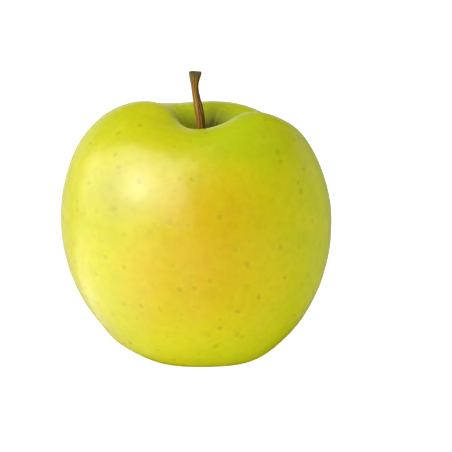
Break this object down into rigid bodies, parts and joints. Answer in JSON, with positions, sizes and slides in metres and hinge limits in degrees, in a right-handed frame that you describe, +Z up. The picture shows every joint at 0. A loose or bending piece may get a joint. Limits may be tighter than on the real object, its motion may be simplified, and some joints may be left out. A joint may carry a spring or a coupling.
{
  "type": "apple",
  "caption": "Whole yellow-green apple with lobed shoulders, a dry bent stem in its cavity and a dried calyx below, to stand on a table or in a bowl.",
  "frame": {"origin": "middle of the box round the whole apple, at the level of the flat ring that it stands on", "axes": "+Z up the core, from the calyx to the stem; -Y towards the side that the picture shows; -X towards the fuller cheek"},
  "size_m": [0.078, 0.0755, 0.0825],
  "materials": {
    "skin": "waxy yellow-green skin with an orange-yellow blush, fine pale and brown dots and a soft gloss",
    "stem_wood": "dry brown stem with lengthwise ridges, matt",
    "dried_sepals": "dry brown sepals with a grey-green down, matt"
  },
  "bodies": {
    "root": {"apple_body": "skin", "stem": "stem_wood", "calyx": "dried_sepals"}
  },
  "joints": []
}
